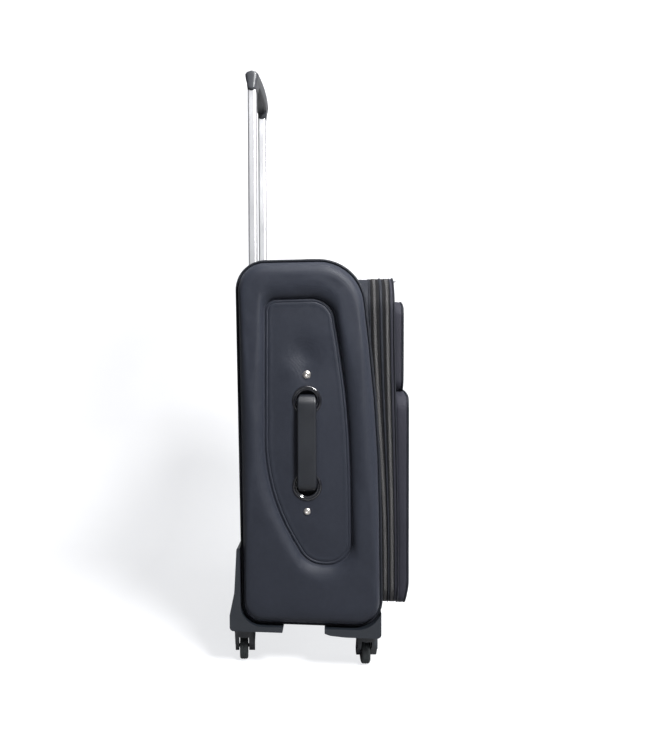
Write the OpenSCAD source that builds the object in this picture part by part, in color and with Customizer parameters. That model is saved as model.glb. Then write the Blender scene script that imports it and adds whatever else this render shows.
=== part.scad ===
// Softside upright suitcase on four swivel castors.
// Millimetres, +Z up, front towards -Y, origin on the floor under the middle of the case.

/* [Case] */
// Width over the two padded side panels
case_w = 420; // [400:1:440]
// Height of the underside above the floor
case_z0 = 75; // [74:1:78]
// Height of the top above the floor
case_top = 672; // [660:1:690]
// Rear face at the top
rear_y = 138; // [136:1:140]
// Thickness of one padded side panel
panel_t = 22; // [20:1:24]
// Depth of the sunken centre of the side panel
recess_d = 12; // [8:1:13]
// Thickness of the fabric, foam and board walls
wall = 3.5; // [3:0.5:4]

/* [Front] */
// Plane of the expansion zip
exp_zip_y = -90; // [-92:1:-88]
// Plane of the main zip
main_zip_y = -106; // [-107:1:-105]
// Front face of the lid
lid_y = -122; // [-123:1:-121]
// Half width of the zip ring
ring_x = 184; // [180:1:184]
// Lowest edge of the zip ring
ring_z0 = 108; // [106:1:112]
// Highest edge of the zip ring
ring_z1 = 643; // [638:1:645]
// Corner radius of the zip ring
ring_r = 55; // [40:1:60]
// How far the expansion collar opens
expansion = 40; // [20:1:42]

/* [Pockets] */
// Front face of the upper pocket
upper_pocket_y = -136; // [-138:1:-134]
// Front face of the lower pocket
lower_pocket_y = -143.5; // [-144:0.5:-142]
// Half width of the upper pocket
upper_pocket_x = 158; // [150:1:160]
// Half width of the lower pocket
lower_pocket_x = 168; // [160:1:170]

/* [Trolley] */
// Distance between the two tubes
tube_pitch = 170; // [160:1:176]
// Depth position of the tubes
tube_y = 120; // [119:0.5:121]
// Underside of the grip sockets when pulled out
grip_z = 976; // [960:1:990]
// Travel of the handle
travel = 335; // [300:1:336]

/* [Castors] */
// Wheel diameter
wheel_d = 44; // [42:1:45]
// Wheel width
wheel_w = 14.5; // [13:0.5:15]
// Distance of the castor stems from the middle
stem_x = 165; // [160:1:168]
// Rear castor stem
rear_stem_y = 128.5; // [126:0.5:130]
// Front castor stem
front_stem_y = -75.5; // [-78:0.5:-72]
// Trail of the wheel behind its stem
trail = 12; // [10:1:13]
// How far each castor has swivelled
swivel = 6; // [0:1:15]

/* [Side handle] */
// Middle of the side handle along the depth
handle_y = 21.5; // [18:0.5:24]
// Middle height of the side handle
handle_z = 375.5; // [370:0.5:380]
// Distance between the two eyelets
eyelet_pitch = 139; // [136:1:142]
// Distance between the two screws
screw_pitch = 222; // [216:1:224]
// Width of the strap
strap_w = 31; // [28:1:31]
// How far a carry handle lifts
handle_lift = 12; // [8:1:12]

/* [Hidden] */
$fn = 64;
gap = 0.3;
half_w = case_w / 2;
panel_x = half_w - panel_t;
board_t = 2.2;
bead_r = 0.8;
board_x = panel_x - board_t - 0.3;
recess_x = half_w - recess_d;
shell_x = board_x - 0.3;

// Corners of the side profile and of its sunken centre: depth, height, radius.
PROFILE = [[rear_y, case_top, 48], [-66, case_top + 1, 78], [-97, 400, 2600],
    [-100, case_z0, 44], [130, case_z0, 34]];
RECESS = [[90, 609, 20], [-20, 611, 40], [-48, 430, 1500], [-52, 176, 42],
    [22, 176, 45], [92, 296, 320]];

// Retracted top of the grip lies just above the bezel.
well_z = grip_z - travel - 4;
well_y0 = tube_y - 18;
well_y1 = tube_y + 13.5;
grip_half = 100;
tube_x = tube_pitch / 2;
outer_tube = [25, 17.6, 4.5];
outer_bore = [22.6, 15.2, 3.5];
inner_tube = [22, 14.6, 3.2];
inner_bore = [19.6, 12.2, 2.2];
outer_tube_z0 = 140;
inner_tube_z0 = outer_tube_z0 + travel + 12;

eyelet_r = 24;
eyelet_bore_r = 20;
leg_inset = 6;
leg_t = 5;
top_handle_y = 20;
top_pitch = 139;

bracket_z = 66;
skirt_z = 62;
stem_r = 5;
bore_r = 5.05;
head_r = 18;
axle_r = 3;
wheel_offset = 2;

// --- outline helpers -------------------------------------------------------

function unit(v) = v / norm(v);
function arc_count(turn) = max(3, ceil(abs(turn) / 6));

// One rounded corner: the arc from one tangent point to the other.
function corner(a, b, c) = let(
    p = [b[0], b[1]],
    u = unit([a[0], a[1]] - p),
    v = unit([c[0], c[1]] - p),
    half = acos(u * v) / 2,
    m = p + unit(u + v) * b[2] / sin(half),
    from = p + u * b[2] / tan(half) - m,
    side = sign(u[0] * v[1] - u[1] * v[0]),
    turn = -side * (180 - 2 * half),
    n = arc_count(turn))
    [for (i = [0 : n]) let(t = turn * i / n)
        m + [from[0] * cos(t) - from[1] * sin(t), from[0] * sin(t) + from[1] * cos(t)]];

function rounded(points) = let(n = len(points))
    [for (i = [0 : n - 1]) each corner(points[(i + n - 1) % n], points[i], points[(i + 1) % n])];

module profile(inset = 0) { offset(delta = -inset) polygon(rounded(PROFILE)); }
module recess(inset = 0) { offset(delta = -inset) polygon(rounded(RECESS)); }

// Stands a depth-height outline up and extrudes it along the width.
module along_x(x0, x1) {
    translate([x0, 0, 0]) rotate([90, 0, 90]) linear_extrude(x1 - x0) children();
}

// Stands a width-height outline up and extrudes it along the depth.
module along_y(y0, y1) {
    translate([0, y1, 0]) rotate([90, 0, 0]) linear_extrude(y1 - y0) children();
}

module box(x0, x1, y0, y1, z0, z1) { translate([x0, y0, z0]) cube([x1 - x0, y1 - y0, z1 - z0]); }

module both_sides() {
    children();
    mirror([1, 0, 0]) children();
}

module rounded_rect(hx, z0, z1, r) {
    polygon(rounded([[-hx, z0, r], [hx, z0, r], [hx, z1, r], [-hx, z1, r]]));
}

module tube_section(size) {
    polygon(rounded([for (c = [[-1, -1], [1, -1], [1, 1], [-1, 1]])
        [c[0] * size[0] / 2, c[1] * size[1] / 2, size[2]]]));
}

// Outline of the front opening, moved in by inset.
module opening(inset = 0) {
    rounded_rect(ring_x - inset, ring_z0 + inset, ring_z1 - inset, ring_r - inset);
}

module opening_ring(y0, y1, outer, inner) {
    along_y(y0, y1) difference() {
        opening(outer);
        opening(inner);
    }
}

// --- case body -------------------------------------------------------------

module wall_ring() {
    difference() {
        profile(1.5);
        profile(1.5 + wall);
    }
}

module shell_part(y0, y1, z0, z1) {
    intersection() {
        along_x(-shell_x, shell_x) wall_ring();
        box(-shell_x - 1, shell_x + 1, y0, y1, z0, z1);
    }
}

module back_panel() {
    color([0.17, 0.18, 0.21]) difference() {
        shell_part(60, 160, 125, 612);
        box(-tube_x - 20.5, tube_x + 20.5, 100, 129.2, 120, well_z - 8);
    }
}

module top_panel() {
    color([0.18, 0.19, 0.22]) difference() {
        shell_part(exp_zip_y + 36, 160, 612.3, 700);
        bezel_block(0.3);
        top_handle_holes(eyelet_bore_r + 1.1);
        along_y(exp_zip_y + 30, exp_zip_y + 43.3) opening(2.7);
    }
}

module bottom_panel() {
    color([0.13, 0.14, 0.16]) shell_part(exp_zip_y + 6, 160, 60, 124.7);
}

module front_gusset() {
    color([0.16, 0.17, 0.2]) difference() {
        opening_ring(exp_zip_y + gap, exp_zip_y + 42, 0, 2.4);
        along_x(-half_w, half_w) difference() {
            translate([0, 0]) square([400, 1600], center = true);
            profile(5.3);
            translate([-100, 0]) square([44.5, 700]);
        }
    }
}

module frame_hoop() {
    color("silver") opening_ring(exp_zip_y + 44, exp_zip_y + 48, 8, 12);
}

module handle_holes(r) {
    for (s = [-1, 1])
        translate([-half_w - 1, handle_y, handle_z + s * eyelet_pitch / 2])
            rotate([0, 90, 0]) cylinder(r = r, h = 40);
}

module top_handle_holes(r) {
    for (s = [-1, 1])
        translate([s * top_pitch / 2, top_handle_y, case_top - 30]) cylinder(r = r, h = 50);
}

module screw_holes(r) {
    for (s = [-1, 1])
        translate([-half_w - 1, handle_y, handle_z + s * screw_pitch / 2])
            rotate([0, 90, 0]) cylinder(r = r, h = 40);
}

// Padded panel: a full slab, a crowned face and the sunken centre.
module side_pad() {
    difference() {
        union() {
            along_x(-half_w + 6, -panel_x) profile(0);
            along_x(-half_w, -half_w + 6) profile(9);
        }
        along_x(-half_w - 1, -recess_x) recess(0);
    }
}

module left_side_panel() {
    color([0.2, 0.21, 0.25]) difference() {
        side_pad();
        handle_holes(eyelet_bore_r + 1.6);
        screw_holes(2.1);
    }
}

module right_side_panel() { color([0.2, 0.21, 0.25]) mirror([1, 0, 0]) side_pad(); }

module side_boards() {
    color([0.1, 0.1, 0.11]) difference() {
        both_sides() along_x(-panel_x + 0.15, -board_x) profile(6);
        handle_holes(eyelet_bore_r + 0.5);
    }
}

module side_piping() {
    color([0.07, 0.07, 0.08]) both_sides() along_x(-panel_x + 0.15, -board_x) difference() {
        offset(delta = 0.8) profile(0);
        profile(4.2);
    }
}

module lining_back() {
    color([0.3, 0.31, 0.33]) along_x(-180, 180)
        polygon(rounded([[109, 92, 1], [109, 626, 1], [106, 626, 1], [106, 92, 1]]));
}

// Two webbing straps across the packing space, fixed to the side boards.
module compression_straps() {
    color([0.12, 0.12, 0.13]) for (z = [280, 460])
        box(-shell_x + 1, shell_x - 1, 98, 99.6, z - 12.5, z + 12.5);
}

module strap_buckle() {
    color([0.06, 0.06, 0.07]) for (z = [280, 460]) difference() {
        box(-24, 24, 93.5, 97.7, z - 19, z + 19);
        for (s = [-1, 1]) box(s * 14 - 3, s * 14 + 3, 90, 101, z - 13, z + 13);
    }
}

// Clearance for the piping where a corner moulding covers it.
module piping_room() { along_x(-panel_x, -board_x + 0.15) profile(-0.95); }

module rear_guard_left() {
    color([0.09, 0.1, 0.11]) difference() {
        along_x(-205, -120) difference() {
            polygon(rounded([[124, 203, 1], [137, 203, 3], [141, 130, 60], [149, 92, 10],
                [149, bracket_z, 6], [62, bracket_z, 2], [62, 78, 1]]));
            profile(-0.3);
        }
        translate([-stem_x, rear_stem_y, 0]) cylinder(r = bore_r, h = 84);
        piping_room();
    }
}

module rear_guard_right() { mirror([1, 0, 0]) rear_guard_left(); }

module front_bracket_left() {
    color([0.09, 0.1, 0.11]) difference() {
        along_x(-205, -120) difference() {
            polygon(rounded([[-6, 78, 1], [-6, 67, 2], [-15, skirt_z + 2, 8], [-40, skirt_z, 30],
                [-97, skirt_z, 7], [-97, 108, 8], [-84, 112, 2]]));
            profile(-0.3);
        }
        translate([-stem_x, front_stem_y, 0]) cylinder(r = bore_r, h = 84);
        translate([-stem_x, front_stem_y, 0]) cylinder(r = head_r + 1.5, h = bracket_z);
        box(-206, -119, -110, exp_zip_y + 10, ring_z0 - 4, 130);
        piping_room();
    }
}

module front_bracket_right() { mirror([1, 0, 0]) front_bracket_left(); }

module outer_tubes() {
    color([0.72, 0.73, 0.75]) both_sides() translate([-tube_x, tube_y, outer_tube_z0])
        linear_extrude(well_z - 8.3 - outer_tube_z0) difference() {
            tube_section(outer_tube);
            tube_section(outer_bore);
        }
}

module bezel_block(grow = 0) {
    intersection() {
        along_x(-117 - grow, 117 + grow) profile(-1.2 - grow);
        box(-118, 118, well_y0 - 4 - grow, 160, well_z - 8 - grow, 700);
    }
}

// Moulded cup that takes the folded grip, with the two tube mouths in its floor.
module trolley_bezel() {
    color([0.08, 0.08, 0.09]) difference() {
        bezel_block();
        box(-grip_half - 3, grip_half + 3, well_y0, well_y1, well_z, 700);
        for (s = [-1, 1]) translate([s * tube_x, tube_y, well_z - 20])
            linear_extrude(40) tube_section(outer_bore);
    }
}

module tube_foot_bracket() {
    color([0.1, 0.1, 0.11]) difference() {
        box(-tube_x - 20, tube_x + 20, 110.2, 127, outer_tube_z0 - 12, outer_tube_z0 - 0.2);
        box(-tube_x + 20, tube_x - 20, 114, 140, outer_tube_z0 - 9, outer_tube_z0);
    }
}

// --- eyelets, screws and carry handles -------------------------------------

// Flanged cup ring, axis along +Z, its flange resting on z = 0.
module eyelet() {
    difference() {
        union() {
            rotate_extrude() polygon([[eyelet_bore_r, 0], [eyelet_r, 0], [eyelet_r, 1.2],
                [eyelet_r - 1.4, 2.6], [eyelet_bore_r + 1, 2.6], [eyelet_bore_r, 1.2]]);
            translate([0, 0, -8]) cylinder(r = eyelet_bore_r + 1, h = 8.5);
        }
        translate([0, 0, -9]) cylinder(r = eyelet_bore_r, h = 20);
    }
}

module side_handle_eyelets() {
    color([0.05, 0.05, 0.06]) for (s = [-1, 1])
        translate([-recess_x - 0.05, handle_y, handle_z + s * eyelet_pitch / 2])
            rotate([0, -90, 0]) eyelet();
}

module top_handle_eyelets() {
    color([0.05, 0.05, 0.06]) for (s = [-1, 1])
        translate([s * top_pitch / 2, top_handle_y, case_top + 0.6]) difference() {
            translate([0, 0, -0.4]) cylinder(r = eyelet_r, h = 2.4);
            translate([0, 0, -5]) cylinder(r = eyelet_bore_r, h = 20);
        }
}

module dome_screw() {
    cylinder(r = 2, h = 9);
    translate([0, 0, 9]) intersection() {
        cylinder(r = 5.6, h = 3);
        translate([0, 0, -4.5]) sphere(r = 7.3);
    }
}

module handle_screws() {
    color([0.78, 0.76, 0.72]) for (s = [-1, 1])
        translate([-recess_x + 9, handle_y, handle_z + s * screw_pitch / 2])
            rotate([0, -90, 0]) dome_screw();
}

// Flat strap bent into a low arch; its ends drop into the eyelets and end in stop bars.
module strap_arch(pitch, rise, drop, width) {
    leg = pitch / 2 + leg_inset;
    linear_extrude(width, center = true) difference() {
        polygon(rounded([[-leg, -drop, 0.5], [leg, -drop, 0.5], [leg, rise, 14], [-leg, rise, 14]]));
        polygon(rounded([[-leg + leg_t, -drop - 20, 0.5], [leg - leg_t, -drop - 20, 0.5],
            [leg - leg_t, rise - leg_t, 9], [-leg + leg_t, rise - leg_t, 9]]));
    }
    for (s = [-1, 1]) translate([s * (leg - leg_t / 2), -drop - 1.5, 0])
        cube([leg_t + 5, 3, width], center = true);
}

module side_handle() {
    rise = half_w - recess_x - 1;
    color([0.1, 0.1, 0.12]) translate([-recess_x, handle_y, handle_z])
        rotate([90, 0, 0]) rotate([0, 0, 90]) strap_arch(eyelet_pitch, rise, 26, strap_w);
}

module top_handle() {
    color([0.1, 0.1, 0.12]) translate([0, top_handle_y, case_top])
        rotate([90, 0, 0]) strap_arch(top_pitch, 14, 20, strap_w - 1);
}

// --- trolley ---------------------------------------------------------------

module inner_tubes() {
    color([0.8, 0.81, 0.83]) difference() {
        both_sides() translate([-tube_x, tube_y, inner_tube_z0])
            linear_extrude(grip_z + 14 - inner_tube_z0) difference() {
                tube_section(inner_tube);
                tube_section(inner_bore);
            }
        lock_pin_bores(3.3);
    }
}

module lock_pin_bores(r) {
    translate([-tube_x - 20, tube_y, inner_tube_z0 + 12]) rotate([0, 90, 0])
        cylinder(r = r, h = 2 * tube_x + 40);
}

// Flared section of the grip: narrow at the tubes, a lip, then a narrow crown.
module grip_section() {
    polygon(rounded([[-7.5, 0, 1], [7.5, 0, 1], [11.5, 24, 2], [11.5, 28, 2], [5.5, 32, 1.5],
        [5, 35, 1.5], [-5, 35, 1.5], [-5.5, 32, 1.5], [-11.5, 28, 2], [-11.5, 24, 2]]));
}

module grip_body() {
    color([0.12, 0.12, 0.14]) difference() {
        translate([0, tube_y, grip_z]) along_x(-grip_half, grip_half) grip_section();
        box(-tube_x + 14, tube_x - 14, 90, 150, grip_z - 1, grip_z + 13);
        for (s = [-1, 1]) translate([s * tube_x, tube_y, grip_z - 1])
            linear_extrude(15.1) tube_section(inner_tube);
        for (s = [-1, 1]) translate([s * tube_x, tube_y, grip_z - 1])
            cylinder(r = 3.6, h = 27);
        box(-tube_x - 4, tube_x + 4, tube_y - 3.6, tube_y + 3.6, grip_z + 20, grip_z + 28.4);
        box(-22.3, 22.3, tube_y - 3.6, tube_y + 3.6, grip_z + 28, grip_z + 40);
    }
}

module grip_underside() {
    color([0.07, 0.07, 0.08]) box(-tube_x + 16, tube_x - 16, tube_y - 7.5, tube_y + 7.5,
        grip_z + 10.5, grip_z + 12.8);
}

module lock_blocks() {
    color([0.1, 0.1, 0.11]) difference() {
        both_sides() translate([-tube_x, tube_y, inner_tube_z0 + 1])
            linear_extrude(26) tube_section([inner_bore[0], inner_bore[1], inner_bore[2]]);
        lock_pin_bores(3.05);
        both_sides() translate([-tube_x, tube_y, inner_tube_z0 + 15.5]) cylinder(r = 2.8, h = 20);
    }
}

module push_button() {
    color([0.2, 0.2, 0.22]) box(-22, 22, tube_y - 3.3, tube_y + 3.3, grip_z + 26, grip_z + 36.5);
}

// A cross bar under the button and one long rod down each tube.
module push_rods() {
    color([0.6, 0.6, 0.62]) {
        box(-tube_x - 2.5, tube_x + 2.5, tube_y - 2.5, tube_y + 2.5, grip_z + 24.6, grip_z + 26);
        for (s = [-1, 1]) translate([s * tube_x, tube_y, inner_tube_z0 + 21])
            cylinder(r = 2, h = grip_z + 25 - inner_tube_z0 - 21);
    }
}

module lock_pin_left() {
    color("silver") translate([-tube_x - 10.9, tube_y, inner_tube_z0 + 12])
        rotate([0, 90, 0]) cylinder(r = 3, h = 10);
}

module lock_pin_right() { mirror([1, 0, 0]) lock_pin_left(); }

// --- expansion collar and lid ----------------------------------------------

module zip_band(y0, y1) { opening_ring(y0, y1, -1, -0.05); }

module expansion_zip_rear() { color([0.12, 0.11, 0.12]) zip_band(exp_zip_y + gap / 2, exp_zip_y + 6); }
module expansion_zip_front() { color([0.12, 0.11, 0.12]) zip_band(exp_zip_y - 6, exp_zip_y - gap / 2); }
module expansion_collar() {
    color([0.17, 0.18, 0.21]) difference() {
        opening_ring(main_zip_y + gap / 2, exp_zip_y - gap / 2, 0, 5.5);
        hinge_bead(bead_r, 2);
    }
}

// Folded cloth sleeve that runs inside the gusset until the collar is let out.
module expansion_gusset() {
    color([0.15, 0.16, 0.19]) opening_ring(exp_zip_y - gap / 2, exp_zip_y + 43, 2.9, 4.6);
}

module main_zip_rear() {
    color([0.12, 0.11, 0.12]) difference() {
        zip_band(main_zip_y + gap / 2, main_zip_y + 6);
        hinge_side();
    }
}

module main_zip_front() {
    color([0.12, 0.11, 0.12]) difference() {
        zip_band(main_zip_y - 6, main_zip_y - gap / 2);
        hinge_side();
    }
}

module hinge_side() { box(ring_x - 1, ring_x + 5, -160, 0, ring_z0 + 40, ring_z1 - 40); }

// A rolled bead on the line the lid turns about.
module hinge_bead(r, grow = 0) {
    translate([ring_x, main_zip_y, ring_z0 + 71 - grow]) cylinder(r = r, h = ring_z1 - ring_z0 - 142 + 2 * grow);
}

module lid_hinge_tape() {
    color([0.13, 0.13, 0.15]) {
        box(ring_x + 0.05, ring_x + 0.8, main_zip_y, exp_zip_y - 6.3, ring_z0 + 71, ring_z1 - 71);
        hinge_bead(bead_r);
    }
}

module lid_panel() {
    color([0.2, 0.2, 0.25]) difference() {
        union() {
            opening_ring(lid_y + 3, main_zip_y - gap / 2, 0, 3.5);
            along_y(lid_y, lid_y + 3.01) opening(0);
        }
        hinge_bead(bead_r + 0.3, 2);
    }
}

module lid_lining() { color([0.3, 0.31, 0.33]) along_y(lid_y + 3.2, lid_y + 4.4) opening(5); }

module upper_pocket() {
    color([0.2, 0.2, 0.25]) {
        along_y(upper_pocket_y + 4, lid_y - 0.1) rounded_rect(upper_pocket_x, 457, 604, 24);
        along_y(upper_pocket_y, upper_pocket_y + 4.01) rounded_rect(upper_pocket_x - 4, 461, 600, 20);
    }
}

module lower_pocket() {
    color([0.2, 0.2, 0.25]) {
        along_y(lower_pocket_y + 8, lid_y - 0.1) rounded_rect(lower_pocket_x, 105, 456, 30);
        along_y(lower_pocket_y, lower_pocket_y + 8.01) rounded_rect(lower_pocket_x - 6, 113, 449, 26);
    }
}

zip_half = 132;
upper_zip_z = 578;
lower_zip_z = 424;

module pocket_zips() {
    color([0.1, 0.09, 0.1]) {
        box(-zip_half, zip_half, upper_pocket_y - 1, upper_pocket_y - 0.05, upper_zip_z - 6, upper_zip_z + 6);
        box(-zip_half, zip_half, lower_pocket_y - 1, lower_pocket_y - 0.05, lower_zip_z - 6, lower_zip_z + 6);
    }
}

// --- zip sliders and pulls ---------------------------------------------------

// Slider body along +X on the z = 0 face, with a pin bridge at its front.
module slider_block() {
    difference() {
        union() {
            box(-6, 6, -4.5, 4.5, 0, 2.2);
            for (s = [-1, 1]) box(s * 3.4 - 0.9, s * 3.4 + 0.9, -3, 3, 2, 4.5);
        }
        translate([-7, 0, 3.2]) rotate([0, 90, 0]) cylinder(r = 0.85, h = 14);
    }
}

module pull_tab() {
    translate([-4.6, 0, 3.2]) rotate([0, 90, 0]) cylinder(r = 0.8, h = 9.2);
    difference() {
        box(-2.3, 2.3, -28, 0, 3.1, 4.1);
        box(-1.1, 1.1, -25, -16, 1, 5);
    }
}

main_slider_x = 12;
slider_z = ring_z1 + 1.35;

module on_main_zip(s) { translate([s * main_slider_x, main_zip_y, slider_z]) children(); }
module on_pocket_zip(y, z) {
    translate([zip_half - 12, y - 1.15, z]) rotate([90, 0, 0]) children();
}

module main_slider_left() { color([0.3, 0.3, 0.32]) on_main_zip(-1) slider_block(); }
module main_slider_right() { color([0.3, 0.3, 0.32]) on_main_zip(1) slider_block(); }
module main_pull_left() { color([0.3, 0.3, 0.32]) on_main_zip(-1) pull_tab(); }
module main_pull_right() { color([0.3, 0.3, 0.32]) on_main_zip(1) pull_tab(); }
module upper_slider() { color([0.3, 0.3, 0.32]) on_pocket_zip(upper_pocket_y, upper_zip_z) slider_block(); }
module upper_pull() { color([0.3, 0.3, 0.32]) on_pocket_zip(upper_pocket_y, upper_zip_z) pull_tab(); }
module lower_slider() { color([0.3, 0.3, 0.32]) on_pocket_zip(lower_pocket_y, lower_zip_z) slider_block(); }
module lower_pull() { color([0.3, 0.3, 0.32]) on_pocket_zip(lower_pocket_y, lower_zip_z) pull_tab(); }

// --- castors -----------------------------------------------------------------

module at_castor(x, y) { translate([x, y, 0]) rotate([0, 0, swivel]) children(); }

// Head, arched crown and two legs; the axle runs through both legs.
module castor() {
    wheel_r = wheel_d / 2;
    difference() {
        union() {
            translate([0, 0, 50]) cylinder(r = head_r, h = bracket_z - 0.6 - 50);
            hull() {
                translate([0, 0, wheel_d + 2]) cylinder(r = head_r - 0.5, h = 6, $fn = 32);
                translate([-8, -head_r + 1.5, 32]) cube([22, 2 * head_r - 3, 14]);
            }
            for (s = [-1, 1]) hull() {
                translate([trail, s * 11.5, wheel_r]) rotate([90, 0, 0])
                    cylinder(r = 8, h = 10, center = true, $fn = 32);
                translate([-6, s * 11.5 - 5, 34]) cube([20, 10, 4]);
            }
        }
        translate([-30, wheel_offset - wheel_w / 2 - 1.2, -1]) cube([80, wheel_w + 2.4, wheel_d + 3]);
        translate([trail, 40, wheel_r]) rotate([90, 0, 0]) cylinder(r = axle_r, h = 80);
    }
    translate([0, 0, bracket_z - 1]) cylinder(r = stem_r, h = 11.5);
    translate([trail, 16.4, wheel_r]) rotate([90, 0, 0]) cylinder(r = axle_r, h = 32.8);
}

module castor_wheel() {
    wheel_r = wheel_d / 2;
    translate([trail, wheel_offset + wheel_w / 2, wheel_r]) rotate([90, 0, 0]) rotate_extrude()
        polygon(rounded([[axle_r + 0.05, 0, 0.2], [wheel_r - 0.1, 0, 4.5], [wheel_r, wheel_w / 2, 60],
            [wheel_r - 0.1, wheel_w, 4.5], [axle_r + 0.05, wheel_w, 0.2]]));
}

module castor_rear_left() { color([0.09, 0.1, 0.12]) at_castor(-stem_x, rear_stem_y) castor(); }
module castor_rear_right() { color([0.09, 0.1, 0.12]) at_castor(stem_x, rear_stem_y) castor(); }
module castor_front_left() { color([0.09, 0.1, 0.12]) at_castor(-stem_x, front_stem_y) castor(); }
module castor_front_right() { color([0.09, 0.1, 0.12]) at_castor(stem_x, front_stem_y) castor(); }
module wheel_rear_left() { color([0.15, 0.16, 0.16]) at_castor(-stem_x, rear_stem_y) castor_wheel(); }
module wheel_rear_right() { color([0.15, 0.16, 0.16]) at_castor(stem_x, rear_stem_y) castor_wheel(); }
module wheel_front_left() { color([0.15, 0.16, 0.16]) at_castor(-stem_x, front_stem_y) castor_wheel(); }
module wheel_front_right() { color([0.15, 0.16, 0.16]) at_castor(stem_x, front_stem_y) castor_wheel(); }

back_panel();
top_panel();
bottom_panel();
front_gusset();
frame_hoop();
left_side_panel();
right_side_panel();
side_boards();
side_piping();
lining_back();
compression_straps();
strap_buckle();
rear_guard_left();
rear_guard_right();
front_bracket_left();
front_bracket_right();
outer_tubes();
trolley_bezel();
tube_foot_bracket();
side_handle_eyelets();
top_handle_eyelets();
handle_screws();
side_handle();
top_handle();
inner_tubes();
grip_body();
grip_underside();
lock_blocks();
push_button();
push_rods();
lock_pin_left();
lock_pin_right();
expansion_zip_rear();
expansion_zip_front();
expansion_collar();
expansion_gusset();
main_zip_rear();
main_zip_front();
lid_hinge_tape();
lid_panel();
lid_lining();
upper_pocket();
lower_pocket();
pocket_zips();
main_slider_left();
main_slider_right();
main_pull_left();
main_pull_right();
upper_slider();
upper_pull();
lower_slider();
lower_pull();
castor_rear_left();
castor_rear_right();
castor_front_left();
castor_front_right();
wheel_rear_left();
wheel_rear_right();
wheel_front_left();
wheel_front_right();
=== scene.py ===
"""Softside upright suitcase: fabric, padding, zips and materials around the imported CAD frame."""
import math

import bpy
import bmesh
from mathutils import Matrix, Vector, noise
from mathutils.geometry import delaunay_2d_cdt


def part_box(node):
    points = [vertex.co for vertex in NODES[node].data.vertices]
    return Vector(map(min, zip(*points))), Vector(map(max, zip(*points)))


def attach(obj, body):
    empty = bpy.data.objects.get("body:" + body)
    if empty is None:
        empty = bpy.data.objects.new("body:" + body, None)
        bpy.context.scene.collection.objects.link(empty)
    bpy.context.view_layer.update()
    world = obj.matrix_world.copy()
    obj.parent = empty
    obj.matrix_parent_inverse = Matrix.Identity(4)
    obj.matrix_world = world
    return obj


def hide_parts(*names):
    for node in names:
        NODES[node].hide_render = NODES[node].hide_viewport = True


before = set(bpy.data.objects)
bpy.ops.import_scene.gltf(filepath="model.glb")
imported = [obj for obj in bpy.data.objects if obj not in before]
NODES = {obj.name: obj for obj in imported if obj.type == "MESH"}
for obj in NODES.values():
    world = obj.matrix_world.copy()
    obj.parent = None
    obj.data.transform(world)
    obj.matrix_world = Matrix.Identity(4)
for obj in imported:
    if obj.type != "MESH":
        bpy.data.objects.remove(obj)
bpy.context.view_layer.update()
MM = 0.001

# ---------------- sizes, in millimetres


def mm_box(node):
    """A CAD node's lowest and highest corners, in millimetres."""
    low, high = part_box(node)
    return low / MM, high / MM


PAD_LOW, PAD_HIGH = mm_box("left_side_panel")
RING_LOW, RING_HIGH = mm_box("expansion_collar")
HALF_W = -PAD_LOW.x
PANEL_X = -PAD_HIGH.x
PAD_DEPTH = HALF_W - PANEL_X
CASE_TOP = 672
CASE_Z0 = 75
CLOTH_T = 2.2
EXP_ZIP_Y = RING_HIGH.y + 0.15
MAIN_ZIP_Y = RING_LOW.y - 0.15
LID_Y = mm_box("lid_panel")[0].y
RING_X = RING_HIGH.x
RING_Z0 = RING_LOW.z
RING_Z1 = RING_HIGH.z
RING_TOP_R = 55
RING_LOW_R = 32
TUBE_Y = 120
HANDLE_Y = 21.5
HANDLE_Z = 375.5
EYELET_PITCH = 139
SCREW_PITCH = 222
TOP_HANDLE_Y = 20
STRAP_T = 5
SWIVEL = math.radians(6)
TRAIL = 12
WHEEL_R = 22
WHEEL_W = 14.5
WHEEL_OFFSET = 2
STEMS = {"rear": 128.5, "front": -75.5}
STEM_X = 165

# Corners of the side profile and of the sunken centre: depth, height, radius.
PROFILE = [(138, CASE_TOP, 48), (-66, CASE_TOP + 1, 78), (-97, 400, 2600)]
PROFILE += [(-100, CASE_Z0, 44), (130, CASE_Z0, 34)]
RECESS = [(90, 609, 20), (-20, 611, 40), (-48, 430, 1500)]
RECESS += [(-52, 176, 42), (22, 176, 45), (92, 296, 320)]
PAD_CENTRE = Vector((20, 385))

# ---------------- outline helpers


def smooth(a, b, x):
    """0 below a, 1 above b, and a smooth step in between."""
    t = min(max((x - a) / (b - a), 0), 1)
    return t * t * (3 - 2 * t)


def rounded(points):
    """A closed outline from corners with radii: arcs joined by straight runs."""
    out = []
    count = len(points)
    for i, (bx, by, r) in enumerate(points):
        a, c = points[i - 1], points[(i + 1) % count]
        p = Vector((bx, by))
        u = (Vector(a[:2]) - p).normalized()
        v = (Vector(c[:2]) - p).normalized()
        half = math.acos(max(-1, min(1, u.dot(v)))) / 2
        centre = p + (u + v).normalized() * r / math.sin(half)
        start = p + u * r / math.tan(half) - centre
        side = 1 if u.x * v.y - u.y * v.x > 0 else -1
        turn = -side * (math.pi - 2 * half)
        steps = max(3, math.ceil(abs(turn) / math.radians(4)))
        for k in range(steps + 1):
            t = turn * k / steps
            out.append(centre + Matrix.Rotation(t, 2) @ start)
    return out


def resample(loop, count, shift=0.0):
    """Evenly spaced points round a closed loop."""
    closed = loop + [loop[0]]
    lengths = [0.0]
    for a, b in zip(closed, closed[1:]):
        lengths.append(lengths[-1] + (b - a).length)
    total = lengths[-1]
    out, k = [], 0
    for i in range(count):
        d = ((i / count + shift) % 1.0) * total
        if i and d < lengths[k]:
            k = 0
        while lengths[k + 1] < d:
            k += 1
        span = lengths[k + 1] - lengths[k] or 1
        out.append(closed[k].lerp(closed[k + 1], (d - lengths[k]) / span))
    return out


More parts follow.
